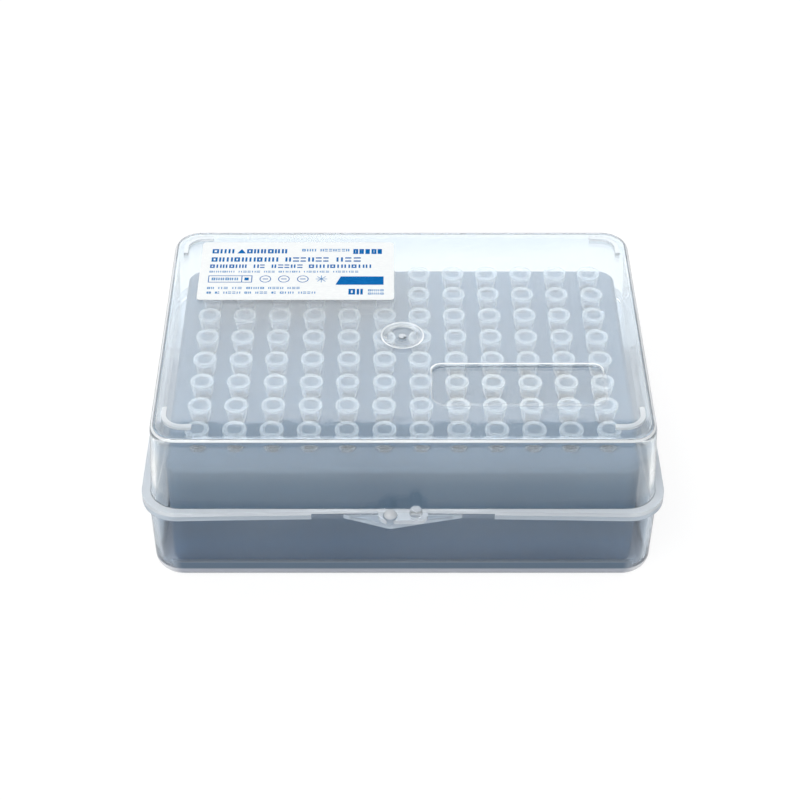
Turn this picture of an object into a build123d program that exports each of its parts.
from build123d import *
import os
from math import atan, cos, degrees, pi, radians, tan

# Hinged box of pipette tips: a base tray, a rack insert that stands in it, 96 tips
# that hang in the rack's deck, and a clear lid that clips to the tray at the back.
# Millimetres. The origin is the centre of the underside, below the middle of the tip
# grid. +X runs along the twelve columns, +Y towards the hinge, +Z up.

# ---------------------------------------------------------------- driving sizes

# Tip grid, the spacing of laboratory microplates
tip_pitch = 9.0
tip_columns = 12
tip_rows = 8

# Pipette tip
tip_flats = 6  # the neck's flutes, carried down the barrel
tip_length = 31.5
tip_collar_radius = 2.95
tip_neck_radius = 2.4  # bottom of the collar, which sits on the deck
tip_seat_depth = 4.9  # from the rim down to that seat
tip_barrel_radius = 1.95
tip_end_radius = 0.42
tip_bore_radius = 1.75
tip_end_bore_radius = 0.2

# Rack insert
deck_side_margin = 7.5  # from the outer tip centres to the deck's short sides
deck_end_margin = 8.3  # from the outer tip centres to the deck's long sides
deck_thickness = 1.6
rack_wall = 1.3
rack_corner_radius = 4.0
rack_edge_chamfer = 0.9
hole_clearance = 0.2
tip_end_clearance = 3.8  # from the tips' ends to the tray's floor

# Base tray
base_height = 22.1  # up to the parting plane between tray and lid
base_wall = 1.4
base_floor = 2.0
base_draft = 1.2  # degrees
base_corner_radius = 7.5
base_edge_radius = 3.0
rack_gap = 2.95  # between the rack's skirt and the tray's walls
rib_clearance = 0.25
rib_height = 5.0  # above the tray's floor
rib_thickness = 1.2
rib_length = 6.0
rib_inset = 12.0  # from the rack's corner to a rib's middle

# Lid
lid_inset = 0.5  # how far the lid's foot stands inside the tray's rim
lid_wall = 1.2
lid_draft = 3.65
lid_corner_radius = 8.0
lid_edge_radius = 1.75
lid_headroom = 5.3  # above the tips' rims

# Rim flanges of tray and lid
flange_thickness = 1.2
flange_side_overhang = 1.5
flange_end_overhang = 1.2
flange_corner_radius = 9.0
flange_bow = 0.8  # how far the front edge draws in at its middle
flange_bow_width = 108.0
parting_gap = 0.1

# Latch at the front
relief_width = 44.0  # where the flanges are cut back for the fingers
relief_lip = 0.7  # thickness of the lid's lip that stays there
tab_width = 29.0
tab_reach = 3.8
tab_nose_radius = 2.7
tongue_width = 12.0
tongue_reach = 3.6
tongue_corner_radius = 2.6
stud_spacing = 6.1
stud_setback = 1.9  # from the tab's nose back to the studs' centre line
stud_radius = 1.6
stud_dome = 1.3
tray_stud_rise = 1.4  # above the tongue
lid_stud_rise = 2.6
stud_clearance = 0.25

# Clip hinges at the back
hinge_spacing = 72.0
hinge_setback = 2.05  # from the flange's edge to the pin's axis
pin_radius = 1.2
pin_clearance = 0.07
hook_width = 8.0
hook_thickness = 1.08
hook_mouth = 0.4  # the hook's tail stops this far in front of the axis
lug_thickness = 1.8
lug_radius = 1.75
lug_back = 2.0
lug_shoulder = 1.35  # the lid's flange comes to rest on this shoulder
lug_root_height = 6.9
lug_side_gap = 0.3
lug_root_bite = 0.45  # how far the lugs reach into the tray's wall

# On top of the lid
ridge_side_inset = 2.6
ridge_end_inset = 3.85
ridge_corner_radius = 5.0
ridge_thickness = 1.2
ridge_arm = 7.5
ridge_height = 0.8
groove_clearance = 0.3
groove_depth = 1.1
gate_radius = 5.2
gate_floor_radius = 4.0
gate_depth = 0.5
gate_nub_radius = 1.0
gate_offset = 2.7  # towards the front
panel_length = 42.3
panel_width = 15.2
panel_corner_radius = 2.8
panel_depth = 0.3
panel_side_inset = 10.5
panel_front_inset = 12.7
label_length = 50.5
label_width = 25.3
label_corner_radius = 1.0
label_thickness = 0.1
label_side_inset = 7.4
label_back_inset = 5.6

# ---------------------------------------------------------------- sizes that follow

grid_width = (tip_columns - 1) * tip_pitch
grid_depth = (tip_rows - 1) * tip_pitch
deck_width = grid_width + 2 * deck_side_margin
deck_depth = grid_depth + 2 * deck_end_margin
rack_height = tip_length - tip_seat_depth + tip_end_clearance
deck_z = base_floor + rack_height
rim_z = deck_z + tip_seat_depth

base_flare = 2 * base_height * tan(radians(base_draft))
base_foot_width = deck_width + 2 * (rack_gap + base_wall)
base_foot_depth = deck_depth + 2 * (rack_gap + base_wall)
rim_width = base_foot_width + base_flare
rim_depth = base_foot_depth + base_flare

tray_top = base_height - parting_gap / 2
lid_bottom = base_height + parting_gap / 2
lid_top = rim_z + lid_headroom + lid_wall
lid_foot_width = rim_width - 2 * lid_inset
lid_foot_depth = rim_depth - 2 * lid_inset
lid_lean = 2 * (lid_top - lid_bottom) * tan(radians(lid_draft))
lid_top_width = lid_foot_width - lid_lean
lid_top_depth = lid_foot_depth - lid_lean

flange_width = rim_width + 2 * flange_side_overhang
flange_depth = rim_depth + 2 * flange_end_overhang
tongue_top = lid_bottom + flange_thickness

hinge_y = flange_depth / 2 + hinge_setback
hook_outer_radius = pin_radius + pin_clearance + hook_thickness
hinge_places = (-hinge_spacing / 2, hinge_spacing / 2)

nose_y = -rim_depth / 2 - tab_reach
studs_y = nose_y + stud_setback
tray_stud_x = -stud_spacing / 2
lid_stud_x = stud_spacing / 2

# ---------------------------------------------------------------- shared forms


def block(width, depth, corner_radius, bottom, height, draft):
    """A rounded block from bottom up, whose four sides lean in by draft degrees."""
    outline = Pos(0, 0, bottom) * RectangleRounded(width, depth, corner_radius)
    return extrude(outline, amount=height, taper=draft)


def lowest_edges(solid):
    return solid.faces().sort_by(Axis.Z)[0].edges()


def highest_edges(solid):
    return solid.faces().sort_by(Axis.Z)[-1].edges()


def plate(sketch, bottom, thickness):
    return extrude(Pos(0, 0, bottom) * sketch, amount=thickness)


def slab(x_centre, x_size, y_low, y_high, z_low, z_high):
    """A square-edged block given by its faces in Y and Z."""
    centre = Pos(x_centre, (y_low + y_high) / 2, (z_low + z_high) / 2)
    return centre * Box(x_size, y_high - y_low, z_high - z_low)


def side_profile(sketch, x_centre, width):
    """A hinge profile, drawn as (Y, Z) about the pin's axis, given its width along X."""
    plane = Plane(origin=(x_centre - width / 2, hinge_y, base_height), x_dir=(0, 1, 0), z_dir=(1, 0, 0))
    return extrude(plane * sketch, amount=width)


def flange_outline():
    """The rim's outer line, drawn in along the front by a shallow bow."""
    front = -flange_depth / 2
    half_bow = flange_bow_width / 2
    bow = ThreePointArc((-half_bow, front), (0, front + flange_bow), (half_bow, front))
    chord = Line((half_bow, front), (-half_bow, front))
    return RectangleRounded(flange_width, flange_depth, flange_corner_radius) - make_face(bow + chord)


def corner_arms(clearance):
    """Four L-shaped arms, of the stacking ridges or, with clearance, of their grooves."""
    width = lid_top_width - 2 * ridge_side_inset + 2 * clearance
    depth = lid_top_depth - 2 * ridge_end_inset + 2 * clearance
    thickness = ridge_thickness + 2 * clearance
    arm = ridge_arm + clearance
    ring = RectangleRounded(width, depth, ridge_corner_radius + clearance)
    ring -= RectangleRounded(
        width - 2 * thickness, depth - 2 * thickness, ridge_corner_radius + clearance - thickness
    )
    return [
        ring & Pos(x * (width - arm) / 2, y * (depth - arm) / 2) * Rectangle(arm, arm)
        for x in (-1, 1)
        for y in (-1, 1)
    ]


def stud(x_centre, bottom, top):
    """An upright latch stud with a domed head."""
    height = top - bottom
    column = Pos(x_centre, studs_y, bottom + height / 2) * Cylinder(stud_radius, height)
    return fillet(highest_edges(column), stud_dome)


# ---------------------------------------------------------------- pipette tips


def tip_stage(start, start_radius, end, end_radius):
    """One stage of a tip with flats all round, narrowing between two distances from the rim."""
    lean = atan((start_radius - end_radius) * cos(pi / tip_flats) / (end - start))
    outline = Pos(0, 0, start) * RegularPolygon(start_radius, tip_flats)
    return extrude(outline, amount=end - start, taper=degrees(lean))


def pipette_tip():
    """A hollow tip, drawn standing on its rim, then turned over to hang at the deck."""
    tip = tip_stage(0, tip_collar_radius, tip_seat_depth, tip_neck_radius)
    tip += tip_stage(tip_seat_depth, tip_barrel_radius, tip_length, tip_end_radius)
    tip -= tip_stage(0, tip_bore_radius, tip_length, tip_end_bore_radius)
    return Pos(0, 0, rim_z) * Rot(180, 0, 0) * tip


def column_x(column):
    return column * tip_pitch - grid_width / 2


row_places = [row * tip_pitch - grid_depth / 2 for row in range(tip_rows)]


def tips_column(tip, column):
    return Compound(children=[Pos(column_x(column), y, 0) * tip for y in row_places])


# ---------------------------------------------------------------- rack insert


def tip_rack():
    """Deck and four skirt walls, moulded as one, standing on the tray's floor."""
    rack = plate(RectangleRounded(deck_width, deck_depth, rack_corner_radius), base_floor, rack_height)
    rack = chamfer(highest_edges(rack), rack_edge_chamfer)
    inside = RectangleRounded(
        deck_width - 2 * rack_wall, deck_depth - 2 * rack_wall, rack_corner_radius - rack_wall
    )
    rack -= plate(inside, base_floor, rack_height - deck_thickness)
    hole = RegularPolygon(tip_barrel_radius + hole_clearance, tip_flats)
    holes = [Pos(column_x(column), y) * hole for column in range(tip_columns) for y in row_places]
    return rack - plate(Sketch() + holes, deck_z - deck_thickness, deck_thickness)


# ---------------------------------------------------------------- base tray


def tray_shell():
    """Walls that lean outwards from a floor with rounded edges."""
    shell = block(base_foot_width, base_foot_depth, base_corner_radius, 0, tray_top, -base_draft)
    shell = fillet(lowest_edges(shell), base_edge_radius)
    floor_lean = 2 * base_floor * tan(radians(base_draft))
    hollow = block(
        base_foot_width - 2 * base_wall + floor_lean,
        base_foot_depth - 2 * base_wall + floor_lean,
        base_corner_radius - base_wall,
        base_floor,
        tray_top - base_floor,
        -base_draft,
    )
    return shell - chamfer(lowest_edges(hollow), base_edge_radius - base_wall)


def rack_ribs():
    """Eight short ribs on the tray's floor that hold the rack's skirt from inside."""
    x_face = deck_width / 2 - rack_wall - rib_clearance
    y_face = deck_depth / 2 - rack_wall - rib_clearance
    x_place = deck_width / 2 - rib_inset
    y_place = deck_depth / 2 - rib_inset
    height = rib_height + base_floor / 2
    middle = base_floor / 2 + height / 2
    along = Box(rib_length, rib_thickness, height)
    across = Box(rib_thickness, rib_length, height)
    ribs = []
    for x in (-1, 1):
        for y in (-1, 1):
            ribs.append(Pos(x * x_place, y * (y_face - rib_thickness / 2), middle) * along)
            ribs.append(Pos(x * (x_face - rib_thickness / 2), y * y_place, middle) * across)
    return ribs


def tray_flange():
    """The tray's rim flange, cut back for the fingers and for the lid's hooks."""
    bottom = tray_top - flange_thickness
    flange = plate(flange_outline(), bottom, flange_thickness)
    inside = RectangleRounded(rim_width - base_wall, rim_depth - base_wall, base_corner_radius)
    flange -= plate(inside, bottom, flange_thickness)
    flange -= slab(0, relief_width, -flange_depth / 2, -rim_depth / 2, bottom, tray_top)
    for x in hinge_places:
        gap = hook_width + 2 * lug_side_gap
        flange -= slab(x, gap, rim_depth / 2, flange_depth / 2, bottom, tray_top)
    return flange


def latch_tab():
    """The tray's thumb tab: a shallow triangle drawn out to a round nose."""
    root_y = -rim_depth / 2 + base_wall / 2
    root = Line((-tab_width / 2, root_y), (tab_width / 2, root_y))
    corners = [Line((x, root_y), (x, -rim_depth / 2)) for x in (-tab_width / 2, tab_width / 2)]
    nose = CenterArc((tray_stud_x, nose_y + tab_nose_radius), tab_nose_radius, 0, 360)
    outline = make_hull([root, *corners, nose])
    tab = plate(outline, tray_top - flange_thickness, flange_thickness)
    return tab + stud(tray_stud_x, tray_top - flange_thickness, tongue_top + tray_stud_rise)


def hinge_lugs(x_centre):
    """Two lugs and the pin moulded between them."""
    wall_y = rim_depth / 2 - hinge_y
    root_y = wall_y - lug_root_bite
    profile = Circle(lug_radius)
    profile += Pos(lug_back / 2, (lug_shoulder - lug_radius) / 2) * Rectangle(
        lug_back, lug_shoulder + lug_radius
    )
    profile += make_face(
        Polyline(
            (root_y, -parting_gap / 2),
            (0, -parting_gap / 2),
            (lug_back, -lug_radius),
            (root_y, -lug_root_height),
            close=True,
        )
    )
    spacing = hook_width + 2 * lug_side_gap + lug_thickness
    lugs = [side_profile(profile, x_centre + side * spacing / 2, lug_thickness) for side in (-1, 1)]
    return lugs + [side_profile(Circle(pin_radius), x_centre, spacing)]


def base_tray():
    tray = tray_shell() + rack_ribs() + tray_flange() + latch_tab()
    for x in hinge_places:
        tray += hinge_lugs(x)
    for arms in corner_arms(groove_clearance):
        tray -= plate(arms, 0, groove_depth)
    return tray


# ---------------------------------------------------------------- lid


def lid_shell():
    """The clear hood, with its rim flange, before the parts on its top."""
    height = lid_top - lid_bottom
    hood = block(lid_foot_width, lid_foot_depth, lid_corner_radius, lid_bottom, height, lid_draft)
    hood = fillet(highest_edges(hood), lid_edge_radius)
    hood += plate(flange_outline(), lid_bottom, flange_thickness)
    hood -= slab(
        0,
        relief_width,
        -flange_depth / 2,
        -lid_foot_depth / 2,
        lid_bottom,
        tongue_top - relief_lip,
    )
    hollow = block(
        lid_foot_width - 2 * lid_wall,
        lid_foot_depth - 2 * lid_wall,
        lid_corner_radius - lid_wall,
        lid_bottom,
        height - lid_wall,
        lid_draft,
    )
    return hood - hollow


def latch_tongue():
    """The lid's plate over the tray's tab, with a stud of its own."""
    root_y = -lid_foot_depth / 2 + lid_wall / 2
    front_y = -rim_depth / 2 - tongue_reach
    outline = Pos(0, (root_y + front_y) / 2) * Rectangle(tongue_width, root_y - front_y)
    outline = fillet(outline.vertices().group_by(Axis.Y)[0], tongue_corner_radius)
    tongue = plate(outline, lid_bottom, flange_thickness)
    return tongue + stud(lid_stud_x, lid_bottom, tongue_top + lid_stud_rise)


def hinge_hook(x_centre):
    """A hook that snaps over the tray's pin, joined to the lid's flange by an arm."""
    bore_radius = pin_radius + pin_clearance
    half_gap = parting_gap / 2
    arm_start = -hinge_setback - flange_end_overhang / 2
    mouth = Pos(-hook_mouth - hook_outer_radius / 2, half_gap - hook_outer_radius / 2)
    profile = Circle(hook_outer_radius) - mouth * Rectangle(hook_outer_radius, hook_outer_radius)
    profile += Pos(arm_start / 2, half_gap + flange_thickness / 2) * Rectangle(
        -arm_start, flange_thickness
    )
    return side_profile(profile - Circle(bore_radius), x_centre, hook_width)


def lid():
    hood = lid_shell() + latch_tongue()
    stud_hole = Pos(tray_stud_x, studs_y) * Circle(stud_radius + stud_clearance)
    hood -= plate(stud_hole, lid_bottom, flange_thickness)
    for x in hinge_places:
        hood += hinge_hook(x)
    for arms in corner_arms(0):
        hood += plate(arms, lid_top, ridge_height)
    gate_floor = lid_top - gate_depth
    hood -= Pos(0, -gate_offset, lid_top - gate_depth / 2) * Cone(
        gate_floor_radius, gate_radius, gate_depth
    )
    hood += Pos(0, -gate_offset, gate_floor) * Cylinder(gate_nub_radius, gate_depth)
    panel_x = lid_top_width / 2 - panel_side_inset - panel_length / 2
    panel_y = -lid_top_depth / 2 + panel_front_inset + panel_width / 2
    panel = Pos(panel_x, panel_y) * RectangleRounded(panel_length, panel_width, panel_corner_radius)
    return hood - plate(panel, lid_top - panel_depth, panel_depth)


def label():
    """A paper label stuck flat on the lid, at its back left."""
    x = -lid_top_width / 2 + label_side_inset + label_length / 2
    y = lid_top_depth / 2 - label_back_inset - label_width / 2
    sheet = Pos(x, y) * RectangleRounded(label_length, label_width, label_corner_radius)
    return plate(sheet, lid_top, label_thickness)


# ---------------------------------------------------------------- output

os.makedirs("parts", exist_ok=True)
pieces = {"base_tray": base_tray(), "tip_rack": tip_rack(), "lid": lid(), "label": label()}
one_tip = pipette_tip()
for column in range(tip_columns):
    pieces[f"tips_column_{column + 1:02d}"] = tips_column(one_tip, column)
for name, piece in pieces.items():
    export_step(piece, f"parts/{name}.step")
print("deck", round(deck_width, 2), round(deck_depth, 2), "at", round(deck_z, 2), "rims at", round(rim_z, 2))
print("rim", round(rim_width, 2), round(rim_depth, 2), "lid top", round(lid_top, 2), "hinge", round(hinge_y, 2))
